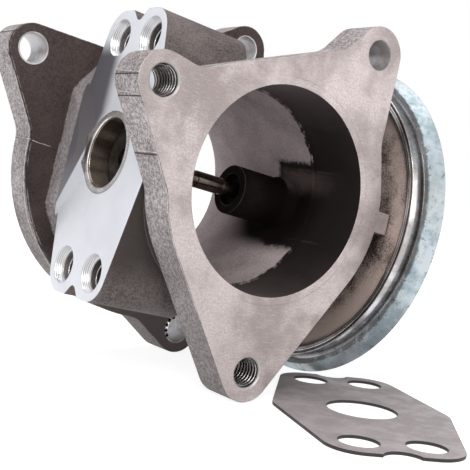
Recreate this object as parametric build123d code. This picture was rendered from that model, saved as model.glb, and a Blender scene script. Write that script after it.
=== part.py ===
from build123d import *
import os

# Vacuum EGR valve on its mixing duct, in millimetres.
# The casting is drawn with the duct along Y, the valve stem along X and Z up.
# The origin is the centre of the duct's front mouth, on its machined face.
# At the end all of it is turned about the duct, to the tilt at which it lies on a table.
rest_tilt = 9.0

# Duct
bore_radius = 28.0
bore_core_step = 0.6
front_bore_depth = 20.0
rear_bore_depth = 12.0
duct_wall = 5.0
duct_length = 72.0
duct_outer = bore_radius + duct_wall

# Front flange: three lobes round the bore
front_thick = 11.5
front_wall = 7.2
front_left_lobe = (-42.2, 17.3)
front_right_lobe = (22.3, 44.4)
front_low_lobe = (3.2, -48.2)
front_left_round = 7.2
front_lobe_round = 7.9
front_ring_centre = (0.8, -0.3)
front_left_bulge = (-26.0, 16.5)
front_left_bulge_round = 8.9
front_top_bulge = (17.0, 36.0)
front_top_bulge_round = 8.2
front_right_root = (11.0, 10.0)
front_right_root_round = 20.0
front_left_root = (-8.0, 0.0)
front_left_root_round = 19.0
flange_inner_round = 9.0
thread_radius = 4.0
thread_mouth = 4.4
bolt_hole_radius = 4.2

# Rear flange
rear_thick = 11.5
rear_rim = 44.8
rear_flat = 36.0
rear_left_lobe = (-50.9, 24.4)
rear_right_lobe = (19.3, 47.1)
rear_low_lobe = (19.4, -45.9)
rear_left_round = 7.0
rear_lobe_round = 7.6
rear_left_root = (-6.0, 0.0)
rear_left_root_round = 32.0
rear_sweep_top = 20.0
neck_radius = 40.0
neck_start = 40.0
neck_flat = 36.0

# Stem axis and the exhaust inlet block
stem_y = duct_length / 2
inlet_face = -33.7
inlet_back = -7.0
inlet_row_gap = 65.0
inlet_pair_gap = 16.5
inlet_lobe = 7.7
inlet_shoulder = 24.0
inlet_shoulder_round = 9.0
inlet_notch = 2.6
inlet_notch_side = 6.0
inlet_notch_round = 2.0
sink_radius = 5.3
sink_depth = 2.4
inlet_hole_depth = 20.0
insert_wall = 0.5
insert_length = 14.0

# Seat ring, valve and stem
seat_outer = 11.6
seat_inner = 9.6
seat_length = 7.6
seat_cone = 1.2
head_radius = 11.2
head_pocket = 12.4
head_pocket_depth = 8.0
head_thick = 3.2
head_hub = 4.6
stem_radius = 2.5
stem_fit = 0.03
lift = 7.0
groove_depth = 0.35
groove_width = 1.2

# Guide boss and bush in the duct's far wall
boss_radius = 7.4
boss_face = 9.1
boss_recess_radius = 4.9
boss_recess_depth = 3.0
boss_foot_start = 25.0
boss_foot_length = 3.0
boss_foot = 3.0
bush_outer = 4.2
bush_start = 13.0
scraper_length = 1.2

# Bell and rim that carry the vacuum can
bell_start = 20.0
bell_floor = 34.0
bell_floor_radius = 15.0
bell_neck_radius = 22.5
bell_neck_end = 36.5
bell_wall = 2.8
bell_shoulder = 30.0
bell_front = 41.0
rim_front = 39.1
rim_step = 43.9
rim_back = 45.6
rim_radius = 46.3
rim_land_step = 1.3
rim_land_width = 2.2
rim_groove = 0.4
rim_groove_in = 0.9
rim_wall = 6.5
rim_land_radius = rim_radius - rim_land_step
rim_inner_edge = rim_land_radius - rim_land_width
rim_bore = rim_radius - rim_wall
vent_radius = 1.8
vent_x = 37.6
tab_reach = 40.2
tab_half = 3.0
tab_height = 0.0
tab_step = 3.0

# Seal round the stem at the bell's floor
seal_radius = 6.6
seal_length = 2.4
cap_radius = 8.6
cap_sheet = 0.8

# Diaphragm, plates and spring
skin = 1.0
bead = 1.7
clamp_reach = 5.3
clamp_inner = rim_radius - clamp_reach
plate_radius = 29.0
plate_sheet = 1.0
plate_hole = 2.0
spring_wire = 0.9
spring_radius = 15.0
spring_turns = 3
locator_bore = 6.0
locator_sheet = 1.0
locator_collar = 4.6
locator_lip = 1.2

# Vacuum can
can_sheet = 1.2
lip_front = 43.2
lip_turn = 0.5
lip_inner = rim_radius - lip_turn
lip_radius = lip_inner + can_sheet
skirt_back = 49.0
skirt_flare = 2.1
skirt_radius = lip_radius + skirt_flare
skirt_edge = 0.9
dish_inset = 3.3
dish_radius = rim_radius - dish_inset
dish_back = 58.0
dish_slope = 9.0
shoulder_round = 4.0
floor_back = 62.0
cup_radius = 19.5
cup_round = 1.5
can_end = 68.5
nipple_radius = 2.6
nipple_bore = 1.4
nipple_reach = 12.0
nipple_root = 4.0
nipple_collar = 2.6
nipple_collar_height = 1.6
nipple_tip = 1.0

# Loose gasket, lying on the table
gasket_thick = 0.8
gasket_hole = 5.1
gasket_port = 9.6
gasket_lobe = 9.2
gasket_waist = 24.2
gasket_waist_round = 10.0
gasket_notch = 3.2
gasket_notch_round = 5.0
gasket_ahead = 51.0
gasket_place = (24.0, stem_y - gasket_ahead)
gasket_turn = 60.0

# Small clearances
seat_gap = 0.1
insert_gap = 0.02

os.makedirs("parts", exist_ok=True)


def disc(centre, radius):
    return Pos(centre[0], centre[1]) * Circle(radius)


def hull(*circles):
    edges = []
    for centre, radius in circles:
        edges += disc(centre, radius).edges()
    return make_hull(edges)


def fill_corners(sketch, radius):
    # grown and shrunk again, which rounds only the corners that point inwards
    return offset(offset(sketch, amount=radius), amount=-radius)


def along_y(sketch, start, end):
    plane = Plane.XZ.offset(-start)
    return extrude(plane * sketch, amount=-(end - start))


def duct_round(centre, radius, start, end):
    return along_y(disc(centre, radius), start, end)


def duct_cone(radius_a, radius_b, start, end):
    cone = Cone(radius_a, radius_b, end - start)
    return Pos(0, (start + end) / 2, 0) * Rot(-90, 0, 0) * cone


def along_x(sketch, start, end):
    return extrude(Plane.YZ.offset(start) * sketch, amount=end - start)


def turned(*points):
    outline = make_face(Polyline(*points, close=True))
    return Pos(0, stem_y, 0) * revolve(outline, Axis.X)


def rod(radius, start, end):
    return Pos(0, stem_y, 0) * along_x(Circle(radius), start, end)


def ring(outer, inner, start, end):
    return rod(outer, start, end) - rod(inner, start - 1, end + 1)


# Outlines
def front_outline():
    middle = (front_ring_centre, bore_radius + front_wall)
    left = (front_left_lobe, front_left_round)
    low = (front_low_lobe, front_lobe_round)
    body = hull(
        middle,
        (front_left_bulge, front_left_bulge_round),
        (front_top_bulge, front_top_bulge_round),
    )
    body += hull((front_right_lobe, front_lobe_round), (front_right_root, front_right_root_round))
    body += hull(left, (front_left_root, front_left_root_round))
    body += hull(left, low)
    body += hull(low, middle)
    return fill_corners(body, flange_inner_round)


def rear_outline():
    side = 2 * rear_rim
    quarter = Pos(rear_low_lobe[0] - side / 2, rear_sweep_top - side / 2) * Rectangle(side, side)
    sweep = Circle(rear_rim) & quarter
    right = (rear_right_lobe, rear_lobe_round)
    body = hull(right, (rear_low_lobe, rear_lobe_round), ((0, 0), rear_flat))
    body += hull((rear_left_lobe, rear_left_round), (rear_left_root, rear_left_root_round))
    return fill_corners(body + sweep, flange_inner_round)


def inlet_outline():
    half_pair = inlet_pair_gap / 2
    half_row = inlet_row_gap / 2
    lobes = []
    for side in (-1, 1):
        for end in (-1, 1):
            lobes.append(((side * half_pair, end * half_row), inlet_lobe))
        lobes.append(((side * (inlet_shoulder - inlet_shoulder_round), 0), inlet_shoulder_round))
    body = hull(*lobes)
    reach = half_row + inlet_lobe + inlet_notch_side / 2 - inlet_notch
    for end in (-1, 1):
        body -= Pos(0, end * reach) * Rot(0, 0, 45) * Rectangle(inlet_notch_side, inlet_notch_side)
    return fill_corners(body, inlet_notch_round)


# Casting
def neck():
    cone = duct_cone(duct_outer - 0.5, neck_radius, neck_start, duct_length - rear_thick + 0.5)
    side = 2 * neck_radius
    return cone - Pos(-neck_flat - side / 2, duct_length / 2, 0) * Box(side, 2 * duct_length, side)


def tab(reach, start):
    rib = Box(reach - bore_radius, front_thick - start, 2 * tab_half)
    return Pos((reach + bore_radius) / 2, (front_thick + start) / 2, tab_height) * rib


def boss_root():
    wide = boss_foot_start + boss_foot_length
    return turned(
        (boss_foot_start, 0),
        (boss_foot_start, boss_radius),
        (wide, boss_radius + boss_foot),
        (bell_floor, boss_radius + boss_foot),
        (bell_floor, 0),
    )


def inlet_block():
    return along_x(Pos(stem_y, 0) * inlet_outline(), inlet_face, inlet_back)


def bell_outside():
    return turned(
        (bell_start, 0),
        (bell_start, bell_neck_radius),
        (bell_neck_end, bell_neck_radius + 1.0),
        (bell_front - 1.2, bell_shoulder - 2.4),
        (bell_front, bell_shoulder + 3.0),
        (bell_front, rim_inner_edge - 2.2),
        (bell_front - 0.8, rim_inner_edge - 0.4),
        (rim_front, rim_inner_edge),
        (rim_front, rim_land_radius - rim_groove_in),
        (rim_front + rim_groove, rim_land_radius - rim_groove_in),
        (rim_front + rim_groove, rim_land_radius - rim_groove),
        (rim_front, rim_land_radius - rim_groove),
        (rim_front, rim_land_radius),
        (rim_step, rim_land_radius),
        (rim_step, rim_radius),
        (rim_back, rim_radius),
        (rim_back, 0),
    )


def bell_inside():
    floor = bell_front + bell_wall - 0.6
    return turned(
        (bell_floor, 0),
        (bell_floor, bell_floor_radius),
        (bell_floor + 1.0, bell_floor_radius + 1.0),
        (bell_floor + 6.0, bell_floor_radius + 5.0),
        (floor, bell_shoulder - 3.0),
        (floor, rim_bore - 0.6),
        (floor + 0.6, rim_bore),
        (rim_back + 1.0, rim_bore),
        (rim_back + 1.0, 0),
    )


def bolt_holes():
    cuts = duct_round(front_right_lobe, bolt_hole_radius, -1, front_thick + 1)
    for lobe in (front_left_lobe, front_low_lobe):
        cuts += duct_round(lobe, thread_radius, -1, front_thick + 1)
        mouth = Cone(thread_mouth, thread_radius, thread_mouth - thread_radius)
        mouth = Rot(-90, 0, 0) * mouth
        cuts += Pos(lobe[0], (thread_mouth - thread_radius) / 2, lobe[1]) * mouth
    for lobe in (rear_left_lobe, rear_right_lobe, rear_low_lobe):
        cuts += duct_round(lobe, bolt_hole_radius, duct_length - rear_thick - 14, duct_length + 1)
    return cuts


def inlet_places():
    places = []
    for side in (-1, 1):
        for end in (-1, 1):
            places.append((stem_y + side * inlet_pair_gap / 2, end * inlet_row_gap / 2))
    return places


def inlet_holes():
    cuts = []
    for place in inlet_places():
        cuts.append(along_x(disc(place, sink_radius), inlet_face - 1, inlet_face + sink_depth))
        hole = disc(place, thread_radius + insert_wall)
        cuts.append(along_x(hole, inlet_face, inlet_face + inlet_hole_depth))
    return cuts


def casting():
    body = duct_round((0, 0), duct_outer, 1, duct_length - 1)
    body += neck()
    body += along_y(front_outline(), 0, front_thick)
    body += along_y(rear_outline(), duct_length - rear_thick, duct_length)
    body += inlet_block()
    body += bell_outside()
    body += tab(tab_reach, 0) + tab(bell_front + 0.5, tab_step)
    body -= duct_round((0, 0), bore_radius - bore_core_step, -1, duct_length + 1)
    body -= duct_round((0, 0), bore_radius, -1, front_bore_depth)
    body -= duct_round((0, 0), bore_radius, duct_length - rear_bore_depth, duct_length + 1)
    body += rod(boss_radius, boss_face, bell_floor)
    body += boss_root()
    body -= bell_inside()
    body -= rod(boss_recess_radius, boss_face - 1, boss_face + boss_recess_depth)
    body -= rod(bush_outer, boss_face, bell_floor + 1)
    body -= rod(seal_radius, bell_floor - seal_length, bell_floor + 1)
    body -= rod(seat_outer, inlet_face - 1, inlet_face + seat_length)
    body -= rod(head_pocket, inlet_face + seat_length, inlet_face + seat_length + head_pocket_depth)
    body -= bolt_holes()
    for cut in inlet_holes():
        body -= cut
    vent = Cylinder(vent_radius, bell_neck_radius)
    body -= Pos(vent_x, stem_y, -bell_neck_radius) * vent
    return body


# Valve train
def seat_ring():
    back = inlet_face + seat_length
    return turned(
        (inlet_face, seat_inner + 0.5),
        (inlet_face, seat_outer),
        (back, seat_outer),
        (back, seat_inner + seat_cone),
        (back - seat_cone, seat_inner),
        (inlet_face + 0.5, seat_inner),
    )


def valve_head():
    back = inlet_face + seat_length + seat_gap
    return turned(
        (back - seat_cone - 1.2, stem_radius),
        (back - seat_cone - 1.2, seat_inner - 2.6),
        (back - seat_cone - 0.2, seat_inner - 0.2),
        (back, seat_inner + seat_cone),
        (back + 0.5, head_radius),
        (back + 1.5, head_radius),
        (back + 2.2, head_radius - 1.0),
        (back + head_thick, head_hub + 0.6),
        (back + head_thick + 3.0, head_hub - 1.4),
        (back + head_thick + 3.0, stem_radius),
    )


stem_tip = inlet_face + seat_length - 1.6
plate_face = 48.2
shoulder = plate_face - plate_sheet - 5.0
nut_face = plate_face + skin + plate_sheet + 1.0
stem_end = nut_face + 4.5


def valve_stem():
    body = rod(stem_radius, stem_tip, plate_face - plate_sheet - 1.2)
    body += rod(plate_hole, plate_face - plate_sheet - 1.3, stem_end)
    for middle in (-4.4, 4.6):
        neck = ring(stem_radius + 1, stem_radius - groove_depth, middle - groove_width / 2, middle + groove_width / 2)
        body -= neck
    return body


def stem_spacer():
    end = plate_face - plate_sheet
    return ring(4.6, plate_hole, end - 1.2, end)


def stem_scraper():
    floor = boss_face + boss_recess_depth
    return ring(boss_recess_radius, stem_radius + stem_fit, floor - scraper_length, floor)


def guide_bush():
    return ring(bush_outer, stem_radius + stem_fit, bush_start, bell_floor - seal_length)


def stem_seal():
    return ring(seal_radius - 0.2, stem_radius + stem_fit, bell_floor - seal_length, bell_floor - 0.4)


def seal_cap():
    front = bell_floor
    cup = ring(cap_radius, stem_radius + 0.9, front, front + cap_sheet)
    lip = ring(seal_radius, seal_radius - 0.9, front - 0.4, front + 0.1)
    return cup + lip


def lower_plate():
    end = plate_face
    return turned(
        (end - plate_sheet, plate_hole),
        (end - plate_sheet, plate_radius - 3.0),
        (end - plate_sheet - 2.4, plate_radius - 0.6),
        (end - plate_sheet - 2.4, plate_radius + 0.4),
        (end - plate_sheet - 1.6, plate_radius + 0.4),
        (end, plate_radius - 2.4),
        (end, plate_hole),
    )


def diaphragm():
    clamp = rim_back
    mid = plate_face
    roll = rim_bore - plate_radius
    outer = rim_radius - 0.2
    return turned(
        (mid, plate_hole),
        (mid, plate_radius - 0.20 * roll),
        (mid + 2.0, plate_radius + 0.20 * roll),
        (mid + 2.6, plate_radius + 0.37 * roll),
        (mid + 2.2, plate_radius + 0.56 * roll),
        (mid - 0.8, plate_radius + 0.86 * roll),
        (clamp, rim_bore + 0.1),
        (clamp, outer),
        (clamp + bead, outer),
        (clamp + bead, clamp_inner + 0.4),
        (mid + 0.1, plate_radius + 0.94 * roll),
        (mid + 3.1, plate_radius + 0.65 * roll),
        (mid + 3.7, plate_radius + 0.37 * roll),
        (mid + 3.0, plate_radius + 0.11 * roll),
        (mid + skin, plate_radius - 0.15 * roll),
        (mid + skin, plate_hole),
    )


def upper_plate():
    front = plate_face + skin
    return turned(
        (front, plate_hole),
        (front, plate_radius - 2.2),
        (front + 3.4, plate_radius - 0.9),
        (front + 3.4, plate_radius - 1.9),
        (front + plate_sheet, plate_radius - 3.1),
        (front + plate_sheet, plate_hole),
    )


def lock_washer():
    front = plate_face + skin + plate_sheet
    return ring(5.0, plate_hole, front, front + 1.0)


def stem_nut():
    body = along_x(RegularPolygon(4.0, 6), nut_face, nut_face + 3.2)
    body = Pos(0, stem_y, 0) * body
    return body - rod(plate_hole, nut_face - 1, nut_face + 5)


def spring_path(start, end):
    pitch = (end - start) / spring_turns
    helix = Helix(pitch, end - start, spring_radius)
    return Pos(start, stem_y, 0) * Rot(0, 90, 0) * helix


def return_spring():
    start = plate_face + skin + plate_sheet + spring_wire + 0.02
    end = can_end - can_sheet - locator_sheet - spring_wire - 0.02
    path = spring_path(start, end)
    section = Plane(path @ 0, z_dir=path % 0) * Circle(spring_wire)
    return sweep(section, path, is_frenet=True)


def spring_locator():
    back = can_end - can_sheet
    base = ring(spring_radius + spring_wire + locator_lip, locator_bore, back - locator_sheet, back)
    outer = spring_radius - spring_wire - 0.4 * locator_lip
    collar = ring(outer, outer - locator_lip, back - locator_collar, back)
    return base + collar


# Vacuum can and nipple
def vacuum_can():
    seat = rim_back + bead
    sheet = can_sheet
    slope = dish_radius - dish_slope
    knee = floor_back - 0.25 * shoulder_round
    return turned(
        (lip_front, lip_inner),
        (lip_front, lip_radius),
        (skirt_back - skirt_edge, skirt_radius),
        (skirt_back, skirt_radius - skirt_edge),
        (skirt_back, dish_radius + sheet),
        (skirt_back + sheet, dish_radius),
        (dish_back, slope),
        (knee, slope - shoulder_round),
        (floor_back, slope - 1.75 * shoulder_round),
        (floor_back, cup_radius + cup_round),
        (floor_back + cup_round, cup_radius),
        (can_end - cup_round, cup_radius),
        (can_end, cup_radius - cup_round),
        (can_end, 0),
        (can_end - sheet, 0),
        (can_end - sheet, cup_radius - cup_round - 0.6 * sheet),
        (can_end - cup_round - 0.6 * sheet, cup_radius - sheet),
        (floor_back + cup_round - 0.4 * sheet, cup_radius - sheet),
        (floor_back - sheet, cup_radius + cup_round - 0.4 * sheet),
        (floor_back - sheet, slope - 1.75 * shoulder_round - 0.3 * sheet),
        (knee - 0.85 * sheet, slope - shoulder_round - 0.7 * sheet),
        (dish_back - 0.7 * sheet, slope - 0.7 * sheet),
        (skirt_back + 0.6 * sheet, dish_radius - sheet),
        (seat, dish_radius - 0.4 * sheet),
        (seat, rim_radius),
        (rim_step, rim_radius),
        (rim_step, lip_inner),
    )


def vacuum_nipple():
    start = can_end - nipple_root
    end = can_end + nipple_reach
    return turned(
        (start, nipple_bore),
        (start, nipple_radius),
        (can_end, nipple_radius),
        (can_end, nipple_radius + nipple_collar),
        (can_end + 0.7 * nipple_collar_height, nipple_radius + 0.6 * nipple_collar),
        (can_end + nipple_collar_height, nipple_radius),
        (end - nipple_tip, nipple_radius),
        (end, nipple_radius - nipple_tip / 2),
        (end, nipple_bore),
    )


def nipple_hole():
    return rod(nipple_radius, can_end - 2 * nipple_root, can_end + nipple_root)


def thread_inserts():
    sleeves = []
    start = inlet_face + sink_depth
    for place in inlet_places():
        sleeve = along_x(disc(place, thread_radius + insert_wall - insert_gap), start, start + insert_length)
        sleeve -= along_x(disc(place, thread_radius), start - 1, start + insert_length + 1)
        sleeves.append(sleeve)
    return Compound(children=sleeves)


# Gasket
def gasket_outline():
    half_pair = inlet_pair_gap / 2
    half_row = inlet_row_gap / 2
    lobes = []
    for side in (-1, 1):
        for end in (-1, 1):
            lobes.append(((end * half_row, side * half_pair), gasket_lobe))
        lobes.append(((0, side * (gasket_waist - gasket_waist_round)), gasket_waist_round))
    body = hull(*lobes)
    notch = half_row + gasket_lobe + gasket_notch_round - gasket_notch
    for end in (-1, 1):
        body -= disc((end * notch, 0), gasket_notch_round)
        for side in (-1, 1):
            body -= disc((end * half_row, side * half_pair), gasket_hole)
    return body - Circle(gasket_port)


def gasket(table):
    sheet = extrude(gasket_outline(), amount=gasket_thick)
    return Pos(gasket_place[0], gasket_place[1], table) * Rot(0, 0, gasket_turn) * sheet


nodes = {
    "duct_casting": casting(),
    "seat_ring": seat_ring(),
    "valve_head": valve_head(),
    "valve_stem": valve_stem(),
    "stem_spacer": stem_spacer(),
    "stem_scraper": stem_scraper(),
    "guide_bush": guide_bush(),
    "stem_seal": stem_seal(),
    "seal_cap": seal_cap(),
    "lower_plate": lower_plate(),
    "diaphragm": diaphragm(),
    "upper_plate": upper_plate(),
    "lock_washer": lock_washer(),
    "stem_nut": stem_nut(),
    "return_spring": return_spring(),
    "spring_locator": spring_locator(),
    "vacuum_can": vacuum_can() - nipple_hole(),
    "vacuum_nipple": vacuum_nipple(),
    "thread_inserts": thread_inserts(),
}

table = 0.0
for name in nodes:
    nodes[name] = Rot(0, rest_tilt, 0) * nodes[name]
    table = min(table, nodes[name].bounding_box().min.Z)
nodes["exhaust_gasket"] = gasket(table)

for name in nodes:
    export_step(nodes[name], "parts/" + name + ".step")
    box = nodes[name].bounding_box()
    print(name, len(nodes[name].solids()), round(nodes[name].volume, 1), box.min, box.max)
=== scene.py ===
import bmesh
import bpy
import math
import random
from mathutils import Matrix, Vector
from mathutils.bvhtree import BVHTree
from types import SimpleNamespace


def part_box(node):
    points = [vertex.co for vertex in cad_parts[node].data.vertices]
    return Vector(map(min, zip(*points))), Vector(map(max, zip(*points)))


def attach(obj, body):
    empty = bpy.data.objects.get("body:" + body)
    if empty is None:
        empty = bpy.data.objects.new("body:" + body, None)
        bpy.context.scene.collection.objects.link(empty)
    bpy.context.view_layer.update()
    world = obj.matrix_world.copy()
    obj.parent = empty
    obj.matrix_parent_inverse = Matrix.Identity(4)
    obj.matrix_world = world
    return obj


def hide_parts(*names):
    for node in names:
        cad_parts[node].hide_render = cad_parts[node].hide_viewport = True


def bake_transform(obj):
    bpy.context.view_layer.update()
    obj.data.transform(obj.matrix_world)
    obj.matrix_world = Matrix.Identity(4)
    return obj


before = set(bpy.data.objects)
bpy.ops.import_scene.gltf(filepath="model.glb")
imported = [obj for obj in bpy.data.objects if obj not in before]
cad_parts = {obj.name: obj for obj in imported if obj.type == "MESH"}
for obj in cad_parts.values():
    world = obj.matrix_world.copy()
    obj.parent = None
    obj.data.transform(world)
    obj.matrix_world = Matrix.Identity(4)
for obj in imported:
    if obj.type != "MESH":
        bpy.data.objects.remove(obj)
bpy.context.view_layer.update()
print("CAD frame loaded:", len(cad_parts), "nodes")

mm = 0.001
lean = math.radians(9.0)  # the valve lies on the table with its can end down
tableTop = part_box("duct_casting")[0][2]
stemAcross = 0.036  # the stem crosses the duct half way along, in metres
dice = random.Random(7)


# Takes a mesh drawn on the casting's own axes in mm into the leaning row frame in metres
def leanInto(mesh):
    mesh.transform(Matrix.Rotation(lean, 4, "Y") @ Matrix.Scale(mm, 4))


# small helpers for node materials
paint = {"tree": None}  # the node tree being made


# A node's output that takes +, -, *, / and abs
class Value:
    def __init__(self, socket):
        self.socket = socket

    def __add__(self, other):
        return calc("ADD", self, other)

    def __sub__(self, other):
        return calc("SUBTRACT", self, other)

    def __rsub__(self, other):
        return calc("SUBTRACT", other, self)

    def __mul__(self, other):
        return calc("MULTIPLY", self, other)

    def __truediv__(self, other):
        return calc("DIVIDE", self, other)

    def __abs__(self):
        return calc("ABSOLUTE", self)


def startMaterial(name):
    mat = bpy.data.materials.new(name)
    mat.use_nodes = True
    paint["tree"] = mat.node_tree
    return mat, mat.node_tree.nodes["Principled BSDF"]


def newNode(kind, **settings):
    node = paint["tree"].nodes.new("ShaderNode" + kind)
    for key, setting in settings.items():
        setattr(node, key, setting)
    return node


def output(node, name):
    return Value(node.outputs[name])


# Links a value to a socket, or sets the socket to a number or colour
def plug(socket, value):
    if isinstance(value, Value):
        paint["tree"].links.new(value.socket, socket)
    else:
        socket.default_value = value


def calc(operation, first, second=0.0):
    node = newNode("Math", operation=operation)
    plug(node.inputs[0], first)
    plug(node.inputs[1], second)
    return output(node, 0)


def allOf(first, *others):
    for other in others:
        first = first * other
    return first


def anyOf(first, *others):
    for other in others:
        first = calc("MAXIMUM", first, other)
    return first


def notThis(value):
    return 1.0 - value


def above(value, limit):
    return calc("GREATER_THAN", value, limit)


def below(value, limit):
    return calc("LESS_THAN", value, limit)


def within(value, low, high):
    return above(value, low) * below(value, high)


def colourMix(factor, first, second):
    node = newNode("Mix", data_type="RGBA")
    for number, value in ((0, factor), (6, first), (7, second)):
        plug(node.inputs[number], value)
    return output(node, 2)


def valueMix(factor, first, second):
    node = newNode("Mix", data_type="FLOAT")
    for number, value in ((0, factor), (2, first), (3, second)):
        plug(node.inputs[number], value)
    return output(node, 0)


def noise(vector, scale, detail=2.0, rough=0.5):
    node = newNode("TexNoise")
    for key, value in (("Scale", scale), ("Detail", detail), ("Roughness", rough), ("Vector", vector)):
        plug(node.inputs[key], value)
    return output(node, "Fac")


# Noise in patches: its scale, detail and roughness, and the values that it fades between
def patches(vector, scale, detail, rough, low, high):
    return ramp(noise(vector, scale, detail, rough), low, high)


def stretched(vector, turn, scale):
    node = newNode("Mapping")
    for key, value in (("Rotation", turn), ("Scale", scale), ("Vector", vector)):
        plug(node.inputs[key], value)
    return output(node, "Vector")


def ramp(value, low, high, outLow=0.0, outHigh=1.0):
    node = newNode("MapRange", interpolation_type="SMOOTHSTEP")
    plug(node.inputs["Value"], value)
    for key, number in (("From Min", low), ("From Max", high), ("To Min", outLow), ("To Max", outHigh)):
        plug(node.inputs[key], number)
    return output(node, "Result")


def bump(shader, height, strength, distance, under=None):
    node = newNode("Bump")
    for key, value in (("Strength", strength), ("Distance", distance), ("Height", height)):
        plug(node.inputs[key], value)
    if under is not None:
        plug(node.inputs["Normal"], under)
    plug(shader.inputs["Normal"], output(node, "Normal"))


def splitVector(vector):
    node = newNode("SeparateXYZ")
    plug(node.inputs["Vector"], vector)
    return [output(node, number) for number in range(3)]


# Object coordinates turned back to the casting's own axes: the vector, then x, y and z
def castingAxes(what="Object"):
    place = stretched(output(newNode("TexCoord"), what), (0.0, -lean, 0.0), (1.0, 1.0, 1.0))
    return place, *splitVector(place)


# Distance from an axis, from the two coordinates across it
def away(first, second, firstAt=0.0, secondAt=0.0):
    across = first - firstAt
    upward = second - secondAt
    return calc("SQRT", across * across + upward * upward)


# Rounded normal at the sharp edges, and how near an edge is, for worn and burred arrises
def softEdges(radius):
    node = newNode("Bevel", samples=4)
    node.inputs["Radius"].default_value = radius
    dot = newNode("VectorMath", operation="DOT_PRODUCT")
    plug(dot.inputs[0], output(node, "Normal"))
    plug(dot.inputs[1], output(newNode("NewGeometry"), "Normal"))
    return output(node, "Normal"), ramp(output(dot, "Value"), 0.995, 0.90)


# casting
castLook = {
    "edgePale": (0.60, 0.55, 0.545, 1.0),
    "edgeDark": (0.20, 0.172, 0.170, 1.0),
    "bodyPale": (0.225, 0.192, 0.184, 1.0),
    "bodyDark": (0.062, 0.050, 0.047, 1.0),
    # the rear flange's front face, darkened as painted shade
    "rearPale": (0.072, 0.053, 0.049, 1.0),
    "rearDark": (0.020, 0.0135, 0.0125, 1.0),
    "rearTop": (0.120, 0.090, 0.085, 1.0),
    "bellPale": (0.50, 0.40, 0.355, 1.0),
    "bellDark": (0.036, 0.024, 0.020, 1.0),
    "ductPale": (0.78, 0.67, 0.67, 1.0),
    "ductMid": (0.36, 0.30, 0.30, 1.0),
    "ductDark": (0.020, 0.0155, 0.0155, 1.0),
    "bossDark": (0.0070, 0.0052, 0.0045, 1.0),
    "bossPale": (0.024, 0.019, 0.016, 1.0),
    "ductShade": (0.13, 0.108, 0.108, 1.0),
    "seam": (0.070, 0.056, 0.053, 1.0),
    "shelf": (0.135, 0.104, 0.094, 1.0),
    "milled": (0.59, 0.515, 0.505, 1.0),
    "milledDull": (0.35, 0.297, 0.287, 1.0),
    "bright": (0.74, 0.71, 0.70, 1.0),
    "inlet": (0.755, 0.76, 0.80, 1.0),
    "inletDull": (0.70, 0.705, 0.745, 1.0),
    "sink": (0.86, 0.86, 0.88, 1.0),
    "sinkRing": (0.20, 0.19, 0.19, 1.0),
    # the inlet face's painted reflection of a dark room, paler lower down; the paler tone also darkens its
    # swelling as painted shade
    "shade": (0.092, 0.086, 0.098, 1.0),
    "shadePale": (0.20, 0.195, 0.22, 1.0),
    # dark flecks, and painted shade on the inlet face's swelling
    "fleckAndShadeDark": (0.075, 0.062, 0.058, 1.0),
    "neckPale": (0.29, 0.26, 0.26, 1.0),
    "chamfer": (0.45, 0.43, 0.42, 1.0),
    "holeShade": (0.018, 0.015, 0.014, 1.0),
    "turned": (0.70, 0.685, 0.70, 1.0),
    "turnedDull": (0.42, 0.39, 0.385, 1.0),
}

# flange holes: centre across the duct in metres, whether in the front flange, and whether threaded
flangeHoles = [
    (-0.0422, 0.0173, True, True),
    (0.0223, 0.0444, True, False),
    (0.0032, -0.0482, True, True),
    (-0.0509, 0.0244, False, False),
    (0.0193, 0.0471, False, False),
    (0.0194, -0.0459, False, False),
]


# where things lie on the casting, in metres: x from inlet to can, y along the duct, z up
castAt = {
    "frontPlane": (-0.0003, 0.0003),
    "rearPlane": 0.0715,
    "frontEdge": 0.01165,
    "rearEdge": 0.06035,
    "frontHoles": 0.012,
    "rearHoles": 0.060,
    "rearFront": (0.0600, 0.0612),
    "holeRadius": 0.0046,
    "chamferDepth": 0.00075,
    "padAlong": (0.013, 0.0604),
    "padPlane": 0.0337,
    "padFront": -0.0333,
    "padSlope": 2.05,
    "padEnd": 0.0584,
    "padShoulder": 0.016,
    "padTaper": 0.27,
    "sinkFromMiddle": (0.00825, 0.0325),
    "sinkRadius": 0.0056,
    "sinkFloor": -0.0310,
    "threadRadius": 0.0044,
    "threadDepth": (-0.0313, -0.0120),
    "neckStart": -0.022,
    "neckAlong": (0.044, 0.0604),
    "rimAlong": (0.0388, 0.0458),
    "rimRadius": 0.0426,
    "rimLine": (0.0440, 0.0447),
    "rimStep": 0.0430,
    "boreRadius": 0.0286,
    "sealRing": (0.0299, 0.0303),
    "sealSide": -0.004,
    "tabDepth": 0.0031,
    "tabAcross": (-0.0065, 0.0035),
    "tabEnd": 0.0403,
    "bellBack": 0.0397,
    "bellFront": 0.0335,
    "bellRadius": 0.0215,
    "bossRadius": 0.0079,
    "bossAlong": (0.0085, 0.0275),
    "bossFace": 0.0125,
    "bossFront": 0.014,
    "notch": (0.0346, 0.00035),
    "coreSide": 0.012,
    "tornEdge": (0.0590, 0.0616),
    "frontCreases": ((0.01655, 0.01690), (0.01175, 0.01205)),
    "rearCrease": (0.0272, 0.0276),
    "parting": (-0.00045, -0.00005),
    "seams": ((0.0106, 0.0110), (0.0078, 0.0081), (-0.0102, -0.0098)),
    "shadeLine": (0.0488, 0.58, 0.0424),
}

# noise: scale, detail and roughness
castNoise = {
    "grain": (2300.0, 3.0, 0.7),
    "coarse": (1150.0, 2.0, 0.6),
    "blotch": (85.0, 4.0, 0.6),
    "cloud": (34.0, 4.0, 0.62),
    "fineCloud": (420.0, 3.0, 0.6),
    "jagged": (260.0, 5.0, 0.75),
}

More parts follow.
